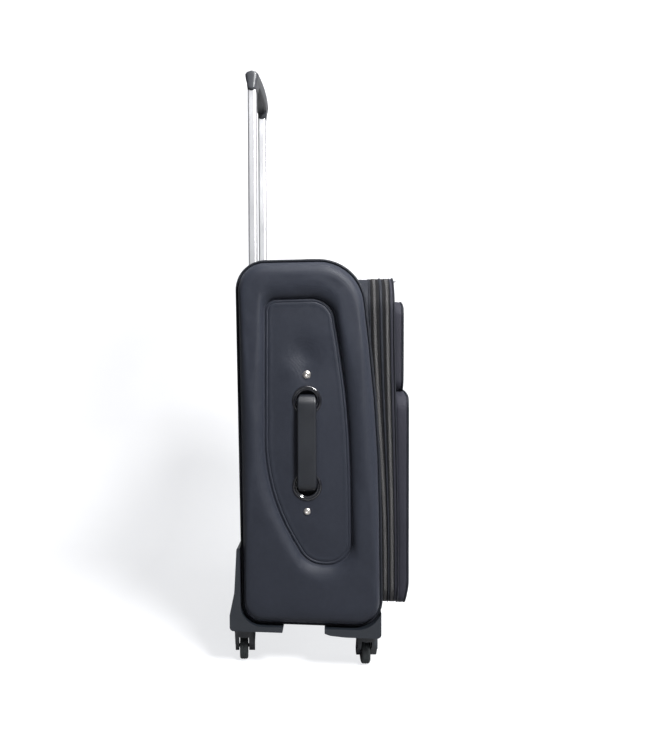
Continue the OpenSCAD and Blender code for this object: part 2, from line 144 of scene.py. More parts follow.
def normals(loop):
    """Outward unit normals of a closed loop of points, whichever way round it runs."""
    area = sum(a.x * b.y - b.x * a.y for a, b in zip(loop, loop[1:] + loop[:1]))
    sign = 1 if area > 0 else -1
    out = []
    for i, _ in enumerate(loop):
        t = (loop[(i + 1) % len(loop)] - loop[i - 1]).normalized()
        out.append(Vector((t.y, -t.x)) * sign)
    return out


def inside_loop(loop, p, margin):
    """Whether a point lies inside a closed loop and no nearer to its corners than the margin."""
    inside = False
    for a, b in zip(loop, loop[1:] + loop[:1]):
        if (a.y > p.y) != (b.y > p.y) and p.x < a.x + (b.x - a.x) * (p.y - a.y) / (b.y - a.y):
            inside = not inside
    return inside and (margin == 0 or min((a - p).length for a in loop) > margin)


def rect_loop(half_width, z0, z1, low_r, high_r, count):
    """An upright rectangle with one radius at its lower corners and one at its upper corners."""
    corners = [(-half_width, z0, low_r), (half_width, z0, low_r)]
    corners += [(half_width, z1, high_r), (-half_width, z1, high_r)]
    return resample(rounded(corners), count)


def circle(radius, count):
    """Evenly spaced points of a circle about the origin."""
    angles = [math.tau * k / count for k in range(count)]
    return [Vector((radius * math.cos(a), radius * math.sin(a))) for a in angles]


def ray_hit(loop, centre, direction):
    """Where a ray from the centre leaves a closed loop."""
    best = None
    for a, b in zip(loop, loop[1:] + loop[:1]):
        e = b - a
        det = direction.x * -e.y + e.x * direction.y
        if abs(det) < 1e-12:
            continue
        w = a - centre
        t = (w.x * -e.y + e.x * w.y) / det
        k = (direction.x * w.y - direction.y * w.x) / det
        if t > 0 and -1e-6 <= k <= 1 + 1e-6 and (best is None or t > best):
            best = t
    return centre + direction * best


# ---------------- mesh helpers


def add_object(name, data):
    obj = bpy.data.objects.new(name, data)
    bpy.context.scene.collection.objects.link(obj)
    return obj


def new_mesh(name, verts, faces):
    """A mesh object from millimetre points: welded, smooth, with outward normals and no loose points."""
    bm = bmesh.new()
    made = [bm.verts.new(Vector(v) * MM) for v in verts]
    for f in faces:
        if len(set(f)) >= 3:
            bm.faces.new([made[i] for i in f])
    bmesh.ops.remove_doubles(bm, verts=bm.verts, dist=1e-6)
    bmesh.ops.recalc_face_normals(bm, faces=bm.faces)
    bmesh.ops.delete(bm, geom=[v for v in bm.verts if not v.link_faces], context="VERTS")
    for f in bm.faces:
        f.smooth = True
    mesh = bpy.data.meshes.new(name)
    bm.to_mesh(mesh)
    bm.free()
    return add_object(name, mesh)


def loft(name, rings, cap_start=False, cap_end=False, wrap=False, open_rings=False):
    """Joins equal rings of points into a skin."""
    count = len(rings[0])
    verts = [p for ring in rings for p in ring]
    faces = []
    last = len(rings) if wrap else len(rings) - 1
    for r in range(last):
        a, b = r * count, ((r + 1) % len(rings)) * count
        for i in range(count - 1 if open_rings else count):
            j = (i + 1) % count
            faces.append((a + i, a + j, b + j, b + i))
    if cap_start:
        faces.append(tuple(range(count)))
    if cap_end:
        base = (len(rings) - 1) * count
        faces.append(tuple(reversed(range(base, base + count))))
    return new_mesh(name, verts, faces)


def rod_faces(base, spans):
    """Faces of a short rod: spans + 1 squares of points in a row, whose first point has index base."""
    faces = []
    for row in range(spans):
        for k in range(4):
            a = base + row * 4 + k
            b = base + row * 4 + (k + 1) % 4
            faces.append((a, b, b + 4, a + 4))
    last = base + spans * 4
    faces.append((base, base + 1, base + 2, base + 3))
    faces.append((last + 3, last + 2, last + 1, last))
    return faces


def join(name, parts, weld=0):
    """Joins several meshes without materials into one piece, welding points nearer than weld."""
    bm = bmesh.new()
    for p in parts:
        bm.from_mesh(p.data)
        bpy.data.objects.remove(p)
    if weld:
        bmesh.ops.remove_doubles(bm, verts=bm.verts, dist=weld * MM)
        bmesh.ops.recalc_face_normals(bm, faces=bm.faces)
    mesh = bpy.data.meshes.new(name)
    bm.to_mesh(mesh)
    bm.free()
    return add_object(name, mesh)


def thicken(obj, inner_slot=0):
    """Gives a cloth skin its thickness, inwards; inner_slot says which material its inner side has."""
    mod = obj.modifiers.new("thickness", "SOLIDIFY")
    mod.thickness = CLOTH_T * MM
    mod.offset = -1
    mod.material_offset = inner_slot


def place(obj, body, material, replaces=()):
    """Gives a piece its body, its material and the CAD nodes that it stands for."""
    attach(obj, body)
    obj.data.materials.clear()
    obj.data.materials.append(material)
    if replaces:
        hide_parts(*replaces)


def mirrored(obj, name):
    """A copy of a piece on the other side of the case."""
    mesh = obj.data.copy()
    mesh.transform(Matrix.Scale(-1, 4, (1, 0, 0)))
    mesh.flip_normals()
    return add_object(name, mesh)


def fbm(p, scale):
    """Smooth unevenness between about -1 and 1, the same on every run."""
    return noise.fractal(Vector(p) / scale, 1.0, 2.0, 3)


# ---------------- materials


class Nodes:
    """A short way to wire a material."""

    def __init__(self, name, color, roughness, metallic=0.0):
        self.mat = bpy.data.materials.new(name)
        self.mat.use_nodes = True
        self.tree = self.mat.node_tree
        self.shader = self.tree.nodes["Principled BSDF"]
        self.set("Base Color", (*color, 1))
        self.set("Roughness", roughness)
        self.set("Metallic", metallic)
        self.coords = self.add("ShaderNodeTexCoord").outputs["Object"]

    def add(self, kind, **inputs):
        node = self.tree.nodes.new(kind)
        for key, value in inputs.items():
            self.put(node, key.replace("_", " "), value)
        return node

    def put(self, node, key, value):
        socket = node.inputs[key]
        if isinstance(value, bpy.types.NodeSocket):
            self.tree.links.new(value, socket)
        else:
            socket.default_value = value

    def stretched(self, scale):
        return self.add("ShaderNodeMapping", Vector=self.coords, Scale=scale).outputs["Vector"]

    def noise(self, scale, detail, roughness=0.5, vector=None):
        at = vector or self.coords
        node = self.add("ShaderNodeTexNoise", Vector=at, Scale=scale, Detail=detail, Roughness=roughness)
        return node.outputs["Fac"]

    def wave(self, scale, direction):
        node = self.add("ShaderNodeTexWave", Vector=self.coords, Scale=scale)
        node.bands_direction = direction
        return node.outputs["Fac"]

    def math(self, kind, a, b):
        node = self.add("ShaderNodeMath")
        node.operation = kind
        self.put(node, 0, a)
        self.put(node, 1, b)
        return node.outputs[0]

    def ramp(self, fac, stops):
        node = self.add("ShaderNodeValToRGB")
        self.put(node, "Fac", fac)
        ramp = node.color_ramp
        while len(ramp.elements) < len(stops):
            ramp.elements.new(0.5)
        for element, (at, color) in zip(ramp.elements, stops):
            element.position = at
            element.color = (*color, 1)
        return node.outputs["Color"]

    def set(self, key, value):
        self.put(self.shader, key, value)

    def bump(self, height, strength, distance):
        node = self.add("ShaderNodeBump", Strength=strength, Distance=distance, Height=height)
        self.set("Normal", node.outputs["Normal"])

    def tone(self, fac, dark, light):
        self.set("Base Color", self.ramp(fac, [(0.3, dark), (0.7, light)]))


def scaled(color, k):
    """A colour made lighter or darker."""
    return tuple(min(1, c * k) for c in color)


def weave(name, color, pitch_mm, roughness, contrast, sheen=0.25, depth=0.35):
    """Plain weave: warp and weft waves with thread noise, mottled at hand scale, with a soft sheen."""
    n = Nodes(name, color, roughness)
    scale = 2000 / pitch_mm / math.tau
    threads = n.math("MULTIPLY", n.wave(scale, "Y"), n.wave(scale, "Z"))
    threads = n.math("ADD", threads, n.math("MULTIPLY", n.wave(scale, "X"), 0.5))
    fuzz = n.noise(900, 4, 0.6)
    mottle = n.noise(9, 4, 0.55)
    fine = n.noise(140, 3, 0.6)
    mix = n.math("ADD", n.math("MULTIPLY", mottle, 0.6), n.math("MULTIPLY", fine, 0.4))
    n.tone(mix, scaled(color, 1 - contrast), scaled(color, 1 + contrast))
    n.set("Roughness", n.math("ADD", n.math("MULTIPLY", fine, 0.12), roughness - 0.06))
    n.set("Sheen Weight", sheen)
    n.set("Sheen Roughness", 0.45)
    n.set("Sheen Tint", (0.75, 0.8, 0.95, 1))
    n.set("Specular IOR Level", 0.14)
    n.bump(n.math("ADD", threads, n.math("MULTIPLY", fuzz, 0.6)), depth, 0.0004)
    return n.mat


def moulded(name, color, roughness, spark, coat=0.0):
    """Moulded plastic: spark-eroded grain and rubbed patches."""
    n = Nodes(name, color, roughness)
    rub = n.noise(18, 5, 0.6)
    grain = n.noise(1300, 2, 0.5)
    n.tone(rub, scaled(color, 0.85), scaled(color, 1.15))
    n.set("Roughness", n.math("ADD", n.math("MULTIPLY", rub, 0.2), roughness - 0.1))
    n.bump(grain, spark, 0.0002)
    n.set("Coat Weight", coat)
    n.set("Coat Roughness", 0.12)
    return n.mat


def metal(name, color, roughness, stretch=(1, 1, 1), streak=0.12, metallic=1.0):
    """Drawn or plated metal: fine streaks, longest where stretch is smallest, and faint smears."""
    n = Nodes(name, color, roughness, metallic)
    lines = n.noise(700, 3, 0.6, n.stretched(stretch))
    smear = n.noise(14, 4, 0.6)
    n.tone(lines, scaled(color, 1 - streak), scaled(color, 1 + streak * 0.4))
    n.set("Roughness", n.math("ADD", n.math("MULTIPLY", smear, 0.16), roughness - 0.06))
    n.bump(lines, 0.08, 0.0001)
    return n.mat


FABRIC = weave("panel_fabric", (0.0175, 0.0198, 0.0275), 0.9, 0.43, 0.12, sheen=0.06)
WRAP = weave("wrap_fabric", (0.0115, 0.0130, 0.0178), 1.1, 0.56, 0.14, sheen=0.04, depth=0.45)
FRONT = weave("front_fabric", (0.018, 0.018, 0.025), 1.3, 0.56, 0.16, sheen=0.08, depth=0.6)
PIPING = weave("piping_cloth", (0.010, 0.0112, 0.015), 0.8, 0.45, 0.12, sheen=0.05)
TAPE = weave("zip_tape", (0.0045, 0.0045, 0.0052), 0.8, 0.78, 0.2, sheen=0.02, depth=0.5)
LINING = weave("lining_cloth", (0.16, 0.165, 0.18), 0.7, 0.75, 0.08, sheen=0.2, depth=0.3)
WEBBING = weave("webbing", (0.03, 0.03, 0.034), 1.6, 0.7, 0.2, sheen=0.15, depth=0.8)
THREAD = weave("thread", (0.07, 0.072, 0.085), 0.5, 0.6, 0.12, sheen=0.2)
PLASTIC = moulded("moulded_black", (0.013, 0.016, 0.021), 0.36, 0.3)
SATIN = moulded("satin_grip", (0.030, 0.032, 0.037), 0.4, 0.2)
GLOSS = moulded("gloss_eyelet", (0.006, 0.0065, 0.009), 0.12, 0.02, 0.8)
STRAP = moulded("strap_rubber", (0.0065, 0.0078, 0.011), 0.46, 0.25)
TREAD = moulded("wheel_tread", (0.016, 0.020, 0.021), 0.6, 0.35)
HUB = moulded("wheel_hub", (0.010, 0.011, 0.014), 0.4, 0.15)
TEETH = moulded("zip_coil", (0.014, 0.0135, 0.0145), 0.45, 0.05)
SCREW = metal("screw_plate", (0.72, 0.69, 0.64), 0.3, streak=0.03)
TUBE = metal("anodised_tube", (0.78, 0.785, 0.80), 0.38, (60, 60, 0.5))
STEEL = metal("plain_steel", (0.6, 0.6, 0.62), 0.35, (1, 1, 20))
PULL = metal("painted_zinc", (0.10, 0.10, 0.11), 0.35, streak=0.2, metallic=0.6)

# ---------------- camera, light and floor


def make_camera():
    """Close to the left side, at about half the height that the case has with its handle up."""
    data = bpy.data.cameras.new("camera")
    cam = add_object("camera", data)
    yaw, pitch, roll = math.radians(6.04), math.radians(-2.04), math.radians(-0.34)
    level = Vector((math.cos(yaw), math.sin(yaw), 0)) * math.cos(pitch)
    look = level + Vector((0, 0, math.sin(pitch)))
    right = look.cross(Vector((0, 0, 1))).normalized()
    up = right.cross(look)
    rolled_right = right * math.cos(roll) + up * math.sin(roll)
    rolled_up = up * math.cos(roll) - right * math.sin(roll)
    turn = Matrix((rolled_right, rolled_up, -look)).transposed().to_4x4()
    cam.matrix_world = Matrix.Translation(Vector((-1.390, -0.029, 0.545))) @ turn
    data.sensor_width = 36
    data.lens = 35.9
    data.shift_x = 0.0842
    data.shift_y = -0.0081
    bpy.context.scene.camera = cam


def make_light():
    """A pale surround and three round lamps: each with its place, aim, diameter and power."""
    bpy.context.scene.view_settings.view_transform = "Standard"
    world = bpy.data.worlds.new("studio")
    bpy.context.scene.world = world
    world.use_nodes = True
    background = world.node_tree.nodes["Background"]
    background.inputs["Color"].default_value = (0.93, 0.95, 1, 1)
    background.inputs["Strength"].default_value = 0.3
    for name, spot, aim, size, power in (
        ("key", (-1.35, -0.85, 1.75), (0, 0, 0.6), 0.55, 100),
        ("top", (-0.4, -0.3, 2.2), (0, 0, 0.5), 0.9, 26),
        ("edge", (-0.3, -2.2, 1.3), (0, 0, 0.5), 0.8, 7),
    ):
        data = bpy.data.lights.new(name, "AREA")
        data.shape = "DISK"
        data.size = size
        data.energy = power
        lamp = add_object(name, data)
        lamp.location = spot
        lamp.rotation_euler = (Vector(aim) - Vector(spot)).to_track_quat("-Z", "Y").to_euler()


def make_floor():
    """A pale sweep: floor, a wide cove, and a wall behind the far side, glowing white for the camera, with
    a painted shadow as a soft grey in the middle.
    """
    n = Nodes("studio_white", (0.93, 0.935, 0.94), 0.85)
    n.tone(n.noise(3, 2), (0.24, 0.24, 0.245), (0.25, 0.25, 0.255))
    n.set("Emission Color", (0.97, 0.98, 1, 1))
    across = n.add("ShaderNodeSeparateXYZ", Vector=n.coords).outputs["Y"]
    # Painted shadow: the camera-seen glow is dimmed to 0.82 in a band across y, on floor and wall,
    # standing in for the case's shadow on the backdrop.
    spot = n.math("DIVIDE", n.math("ADD", across, 0.3), 1.6)
    painted_wall_shadow = n.ramp(spot, [(0.2, (1, 1, 1)), (0.45, (0.82, 0.82, 0.82)), (0.85, (1, 1, 1))])
    seen = n.math("MULTIPLY", n.add("ShaderNodeLightPath").outputs["Is Camera Ray"], 0.8)
    n.set("Emission Strength", n.math("MULTIPLY", painted_wall_shadow, seen))
    wall_x, cove, reach, wall_top = 750, 300, 8000, 6000
    path = [(-reach, 0), (wall_x - cove, 0)]
    for k in range(1, 16):
        a = math.radians(6 * k)
        path.append((wall_x - cove + cove * math.sin(a), cove - cove * math.cos(a)))
    path.append((wall_x, wall_top))
    rings = [[(x, y, z) for x, z in path] for y in (-reach, -2000, 2000, reach)]
    floor = loft("studio_sweep", rings, open_rings=True)
    floor.data.materials.append(n.mat)


make_camera()
make_light()
make_floor()

# ---------------- padded side panels

LOOP_COUNT = 420
PAD_INSET = 4.5
OUTER_ROLL = 24
INNER_ROLL = 30
LIP_H = 10.0
FLOOR_H = 9.5
LIP_W = 12
EYELET_HOLE_R = 20.8
# Rows of points across the broad ring: distances in from the seam and out from the lip. An even middle
# lies between the two zones, and all of it shrinks where the ring is narrower than FULL_RING_W.
SEAM_STEPS = (0.25, 1, 2.2, 4, 6.5, 9.5, 13, 16.5)
LIP_STEPS = (26, 22.5, 19, 16, 13, 10.3, 8, 6, 4.3, 2.9, 1.8, 0.9, 0.35)
SEAM_ZONE = 17
LIP_ZONE = 26.5
FULL_RING_W = 47
# The stepped lip: distance in from the ring's inner edge, and height above LIP_H.
LIP = [(0, 0), (0.7, -1.5), (1.5, -1.9), (2.3, -1.2), (3.2, -0.3), (4.5, 0), (5.6, -0.2), (6.2, -0.8)]
LIP += [(6.8, -0.9), (7.5, -0.4), (8.8, 0.2), (LIP_W, FLOOR_H - LIP_H)]
# Where the sunken panel is drawn in: place from the handle's middle, depth, reach.
DIMPLES = [(2, 143, 5.0, 27), (0, 111, 1.6, 14), (24, 118, -1.6, 18), (0, -111, 0.9, 14)]


def pad_outline():
    """The padded panel's seam line, evenly spaced."""
    loop = resample(rounded(PROFILE), LOOP_COUNT)
    return [p - n * PAD_INSET for p, n in zip(loop, normals(loop))]


def crown(d, width):
    """Height of the padding at distance d in from the seam, where the ring is width wide."""
    roll = PAD_DEPTH * (1 - max(0, 1 - d / OUTER_ROLL) ** 2.4) ** 0.5
    reach = min(INNER_ROLL, 0.55 * width)
    t = max(0, 1 - (width - d) / reach)
    return roll - (PAD_DEPTH - LIP_H) * (1 - (1 - t ** 2.1) ** 0.62)


def recess_dimple(y, z):
    """How far the sunken panel is drawn in round the screws."""
    pull = 0
    for dy, dz, depth, reach in DIMPLES:
        away = math.hypot(y - HANDLE_Y - dy, z - HANDLE_Z - dz)
        pull += depth * math.exp(-(away / reach) ** 2)
    return pull


def floor_patch(edge, height, holes):
    """Fine triangles inside the sunken panel's edge, with the eyelet holes left open."""
    points = list(edge)
    lines = [(i, (i + 1) % len(edge)) for i in range(len(edge))]
    for centre in holes:
        first = len(points)
        rim = circle(EYELET_HOLE_R, 56)
        points += [centre + p for p in rim]
        lines += [(first + k, first + (k + 1) % len(rim)) for k in range(len(rim))]
    low = Vector((min(p.x for p in edge), min(p.y for p in edge)))
    high = Vector((max(p.x for p in edge), max(p.y for p in edge)))
    pitch = 4.5
    for i in range(int((high.x - low.x) / pitch)):
        for j in range(int((high.y - low.y) / pitch)):
            p = low + Vector((pitch * (i + j % 2 / 2), pitch * j))
            clear = all((p - centre).length > EYELET_HOLE_R + 2 for centre in holes)
            if clear and inside_loop(edge, p, 2):
                points.append(p)
    verts, _, faces, _, _, _ = delaunay_2d_cdt(points, lines, [], 0, 1e-6)
    kept = []
    for f in faces:
        mid = sum((verts[i] for i in f), Vector((0, 0))) / len(f)
        if inside_loop(edge, mid, 0) and all((mid - centre).length > EYELET_HOLE_R for centre in holes):
            kept.append(tuple(f))
    return [(-(PANEL_X + height(v)), v.x, v.y) for v in verts], kept


def make_side_pad(name, with_handle):
    """One moulded panel: rolled edge, broad ring, stepped lip and a softly domed sunken centre."""
    outer = pad_outline()
    inner = [ray_hit(rounded(RECESS), PAD_CENTRE, p - PAD_CENTRE) for p in outer]
    inward = [-n for n in normals(inner)]
    rings = []

    def add(points, heights):
        rings.append([(-(PANEL_X + h), p.x, p.y) for p, h in zip(points, heights)])

    add(outer, [0.0] * LOOP_COUNT)
    stations = [("out", d) for d in SEAM_STEPS]
    stations += [("mid", k / 7) for k in range(1, 7)]
    stations += [("in", d) for d in LIP_STEPS]
    for kind, value in stations:
        points, heights = [], []
        for p, q in zip(outer, inner):
            width = (q - p).length
            f = min(1, width / FULL_RING_W)
            middle = SEAM_ZONE * f + (width - (SEAM_ZONE + LIP_ZONE) * f) * value
            d = {"out": value * f, "mid": middle, "in": width - value * f}[kind]
            at = p.lerp(q, d / width)
            sag = 0.9 * fbm((at.x, at.y, 3), 70) + 0.35 * fbm((at.x, at.y, 9), 22)
            points.append(at)
            heights.append(crown(d, width) + sag * smooth(16, 30, d) * smooth(2, 14, width - d))
        add(points, heights)
    for step, rise in LIP:
        add([p + n * step for p, n in zip(inner, inward)], [LIP_H + rise] * LOOP_COUNT)
    edge = [p + n * LIP_W for p, n in zip(inner, inward)]
    holes = []
    if with_handle:
        holes = [Vector((HANDLE_Y, HANDLE_Z + side * EYELET_PITCH / 2)) for side in (-1, 1)]

    def floor_height(v):
        rim = min(1, min((v - p).length for p in edge[::6]) / 30)
        h = FLOOR_H + rim * (0.9 + 0.6 * fbm((v.x, v.y, 5), 60))
        return h - (recess_dimple(v.x, v.y) if with_handle else 0)

    ring = loft("broad_ring", rings, cap_start=True)
    centre = new_mesh("sunken_centre", *floor_patch(edge, floor_height, holes))
    return join(name, [ring, centre], weld=0.2)


def make_piping(name):
    """Covered cord that closes the seam round a padded panel."""
    loop = resample(rounded(PROFILE), LOOP_COUNT)
    out = normals(loop)
    rings = []
    for c in circle(2.3, 10):
        ring = [p - n * (2.2 - c.x) for p, n in zip(loop, out)]
        rings.append([(-(PANEL_X + 2.0 + c.y), q.x, q.y) for q in ring])
    return loft(name, rings, wrap=True)


def make_sides():
    """The two padded panels, the left one with holes for its handle, and their piping."""
    left = make_side_pad("left_padded_side", True)
    place(left, "case", FABRIC, ["left_side_panel"])
    right = mirrored(make_side_pad("right_pad_source", False), "right_padded_side")
    bpy.data.objects.remove(bpy.data.objects["right_pad_source"])
    place(right, "case", FABRIC, ["right_side_panel"])
    cord = make_piping("left_side_piping")
    twin = mirrored(cord, "right_side_piping")
    place(cord, "case", PIPING, ["side_piping"])
    place(twin, "case", PIPING)


# ---------------- wrap: top, back, bottom and front corners

WRAP_X = 187.5
WRAP_COLUMNS = 60
TOP_SEAM_Z = 612
LOW_SEAM_Z = 125
FRONT_Y = -45
# The bezel's well: half width, depth of its front and height of its foot.
WELL_X = 112
WELL_Y = 105
WELL_Z = 640


def inside_opening(x, z, inset):
    """Whether a point of the front lies in the opening, when that is made smaller all round."""
    half_w = RING_X - inset
    r = (RING_TOP_R if z > 300 else RING_LOW_R) - inset
    z0, z1 = RING_Z0 + inset, RING_Z1 - inset
    if abs(x) > half_w or z < z0 or z > z1:
        return False
    dx, dz = abs(x) - (half_w - r), max(z0 + r - z, z - (z1 - r))
    return dx <= 0 or dz <= 0 or math.hypot(dx, dz) < r


def make_wrap(name, keep):
    """Cloth wall round the case, slightly crowned between its two side seams."""
    loop = resample(rounded(PROFILE), 300)
    out = normals(loop)
    xs = [WRAP_X * (2 * k / WRAP_COLUMNS - 1) for k in range(WRAP_COLUMNS + 1)]
    verts, faces = [], []
    for x in xs:
        edge = 1 - abs(x / WRAP_X) ** 10
        for p, n in zip(loop, out):
            puff = -3.2 + 3.0 * edge + 0.5 * fbm((x, p.x, p.y), 80)
            q = p + n * puff
            verts.append((x, q.x, q.y))
    count = len(loop)
    for i in range(WRAP_COLUMNS):
        for k in range(count):
            j = (k + 1) % count
            mid = (loop[k] + loop[j]) / 2
            if keep((xs[i] + xs[i + 1]) / 2, mid.x, mid.y):
                faces.append((i * count + k, i * count + j, (i + 1) * count + j, (i + 1) * count + k))
    obj = new_mesh(name, verts, faces)
    thicken(obj, 1)
    return obj


def make_walls():
    """The wrap in four pieces, with the bezel's well and the front opening cut out."""

    def whole(x, y, z):
        well = abs(x) < WELL_X and y > WELL_Y and z > WELL_Z
        return not well and not (y < FRONT_Y and inside_opening(x, z, 2))

    def middle(z):
        return LOW_SEAM_Z <= z < TOP_SEAM_Z

    parts = (
        ("top_cloth", lambda x, y, z: z >= TOP_SEAM_Z and whole(x, y, z), ["top_panel"]),
        ("back_cloth", lambda x, y, z: y > 20 and middle(z), ["back_panel"]),
        ("bottom_cloth", lambda x, y, z: z < LOW_SEAM_Z and whole(x, y, z), ["bottom_panel"]),
        ("front_corner_cloth", lambda x, y, z: y <= 20 and middle(z) and whole(x, y, z), []),
    )
    for name, keep, stands_for in parts:
        obj = make_wrap(name, keep)
        place(obj, "case", WRAP, stands_for)
        obj.data.materials.append(LINING)


# ---------------- rings round the front opening

OPENING = rect_loop(RING_X, RING_Z0, RING_Z1, RING_LOW_R, RING_TOP_R, 520)
OPENING_OUT = normals(OPENING)
FRONT_CENTRE = Vector((0, (RING_Z0 + RING_Z1) / 2))
COIL_PITCH = 2.4
# A coil tooth, from its root on the tape to its hook: distance towards the tape, and width.
TOOTH = ((3.2, 0.85), (2.2, 1.0), (-0.9, 1.0), (-1.5, 0.7))
TOOTH_SECTION = ((-0.75, 0.0), (-0.6, 0.9), (0.6, 0.9), (0.75, 0.0))


def layer_shift(y, x, z):
    """How the soft front settles: away from the hinge its zips and its face lean out at the bottom."""
    near = 1 - smooth(-60, 150, x)
    low = 1 - smooth(180, 620, z)
    expansion = near * (3 - 17 * low)
    main = near * (-1 - 8 * low)
    face = near * (3 - 6 * low)
    if y >= EXP_ZIP_Y:
        return expansion * (1 - smooth(EXP_ZIP_Y, EXP_ZIP_Y + 30, y))
    if y >= MAIN_ZIP_Y:
        return expansion + (main - expansion) * (EXP_ZIP_Y - y) / (EXP_ZIP_Y - MAIN_ZIP_Y)
    return main + (face - main) * min(1, (MAIN_ZIP_Y - y) / (MAIN_ZIP_Y - LID_Y))


def ring_point(i, y, out):
    """A point at depth y beside point i of the opening, settled as the front is."""
    p, n = OPENING[i], OPENING_OUT[i]
    x, z = p.x + n.x * out, p.y + n.y * out
    return (x, y + layer_shift(y, x, z), z)


def around(name, section, ripple=0.0):
    """Sweeps a closed section of (depth, outset) points round the opening."""
    rings = []
    for y, out in section:
        waves = [ripple * fbm((*p, y * 4), 35) for p in OPENING]
        rings.append([ring_point(i, y, out + wave) for i, wave in enumerate(waves)])
    return loft(name, rings, wrap=True)


def band(y0, y1, outer, inner, bulge, steps):
    """Section of a soft band between two depths, crowned outwards."""
    shares = [k / steps for k in range(steps + 1)]
    top = [(y0 + (y1 - y0) * s, outer + bulge * math.sin(math.pi * s)) for s in shares]
    return top + [(y1, inner), (y0, inner)]


def cord_section(y, out, r):
    """Round section of a cord, as points of (depth, outset)."""
    return [(y + c.x, out + c.y) for c in circle(r, 10)]


def inset_ring(loop, out, inset, depth):
    """A ring that lies inset from a loop on the front, where depth(x, z) gives each point's depth."""
    inner = [p - n * inset for p, n in zip(loop, out)]
    return [(q.x, depth(q.x, q.y), q.y) for q in inner]


def close_in(rings, centre, shares, depth):
    """Adds ever smaller copies of the last ring; depth(x, z, share) gives each point's depth."""
    last = [Vector((x, z)) for x, _, z in rings[-1]]
    for share in shares:
        inner = [centre + (p - centre) * share for p in last]
        rings.append([(q.x, depth(q.x, q.y, share), q.y) for q in inner])


def coil_teeth(name, y, side, skip):
    """One row of interlocking coil teeth round the opening; side -1 or 1 says which tape holds it."""
    total = sum((b - a).length for a, b in zip(OPENING, OPENING[1:] + OPENING[:1]))
    count = int(total / COIL_PITCH)
    loop = resample(OPENING, count, (0.25 if side > 0 else 0.75) / count)
    verts, faces = [], []
    for p, n in zip(loop, normals(loop)):
        if skip(p.x, p.y):
            continue
        t = Vector((-n.y, n.x))
        faces += rod_faces(len(verts), len(TOOTH) - 1)
        for depth, width in TOOTH:
            for along, up in TOOTH_SECTION:
                q = p + t * along * width + n * (0.3 + up * width)
                verts.append((q.x, y + side * depth + layer_shift(y, q.x, q.y), q.y))
    return new_mesh(name, verts, faces)


def nowhere(x, z):
    """For a zip whose teeth run all the way round."""
    return False


def hinge_side(x, z):
    """Whether a point of the opening is on the cloth hinge, where the main zip has no teeth."""
    return x > RING_X - 12 and RING_Z0 + 40 < z < RING_Z1 - 40


def make_gusset():
    """Cloth between the padded sides and the first zip, with its stitched hem and the wire hoop."""
    cloth = around("gusset_cloth", band(EXP_ZIP_Y + 41, EXP_ZIP_Y + 5.2, -0.6, -2.6, 0.8, 8), 0.5)
    place(cloth, "case", WRAP, ["front_gusset"])
    hem = around("gusset_hem", cord_section(EXP_ZIP_Y + 8.4, -0.2, 1.5))
    place(hem, "case", PIPING)
    hoop = around("wire_hoop", cord_section(EXP_ZIP_Y + 44, -7, 2.4))
    place(hoop, "case", STEEL, ["frame_hoop"])


def make_zips():
    """Four half tapes and their coil teeth; the main zip stops at the cloth hinge."""
    rows = (
        ("expansion", "rear", EXP_ZIP_Y, 1, "case", nowhere),
        ("expansion", "front", EXP_ZIP_Y, -1, "collar", nowhere),
        ("main", "rear", MAIN_ZIP_Y, 1, "collar", hinge_side),
        ("main", "front", MAIN_ZIP_Y, -1, "lid", hinge_side),
    )
    for kind, half, y, side, body, skip in rows:
        name = kind + "_tape_" + half
        near, far = y + side * 0.25, y + side * 6.4
        section = [(near, 0.1), (near, -1.2), (far, -1.2), (far, 0.25)]
        section += [(y + side * 5.4, 0.65), (y + side * 2.4, 0.5)]
        place(around(name, section), body, TAPE, [kind + "_zip_" + half])
        place(coil_teeth(name + "_teeth", y, side, skip), body, TEETH)


def make_collar():
    """Narrow cloth collar between the zips and the sleeve that folds inside the case."""
    half = (EXP_ZIP_Y + MAIN_ZIP_Y) / 2
    cloth = around("collar_cloth", band(EXP_ZIP_Y - 4.8, MAIN_ZIP_Y + 4.8, -0.3, -4.6, 1.4, 6), 0.4)
    place(cloth, "collar", WRAP, ["expansion_collar"])
    cord = around("collar_piping", cord_section(half + 0.2, 0.9, 1.3))
    place(cord, "collar", PIPING)
    sleeve = around("folded_sleeve", band(EXP_ZIP_Y + 41, EXP_ZIP_Y - 4.2, -3.1, -4.4, 0.1, 10), 0.15)
    place(sleeve, "collar", WRAP, ["expansion_gusset"])


make_sides()
make_walls()
make_gusset()
make_zips()
make_collar()


# ---------------- shared shapes for the front and the hardware


def lathe(name, profile, origin, axis, count):
    """Turns a closed profile of (radius, height) points about an axis through the origin."""
    axis = Vector(axis).normalized()
    side = axis.orthogonal().normalized()
    other = axis.cross(side)
    rings = []
    for k in range(count):
        a = math.tau * k / count
        out = side * math.cos(a) + other * math.sin(a)
        rings.append([Vector(origin) + out * r + axis * h for r, h in profile])
    return loft(name, rings, wrap=True)


def sweep(name, path, section):
    """Carries a closed section of (side, up) points along a path of (point, side, up) frames."""
    rings = [[p + side * a + up * b for a, b in section] for p, side, up in path]
    return loft(name, rings, cap_start=True, cap_end=True)


# ---------------- lid and pockets


CLOSING = (0.85, 0.7, 0.55, 0.4, 0.25, 0.1, 0)
LINING_GAP = 4


def lid_face(x, z):
    """Depth of the lid's face: tight at the piping, slack in the middle."""
    edge = min(RING_X - abs(x), z - RING_Z0, RING_Z1 - z)
    y = LID_Y - 1.1 * smooth(0, 40, edge) + 0.7 * fbm((x, 7, z), 75) * smooth(4, 40, edge)
    return y + layer_shift(LID_Y, x, z)


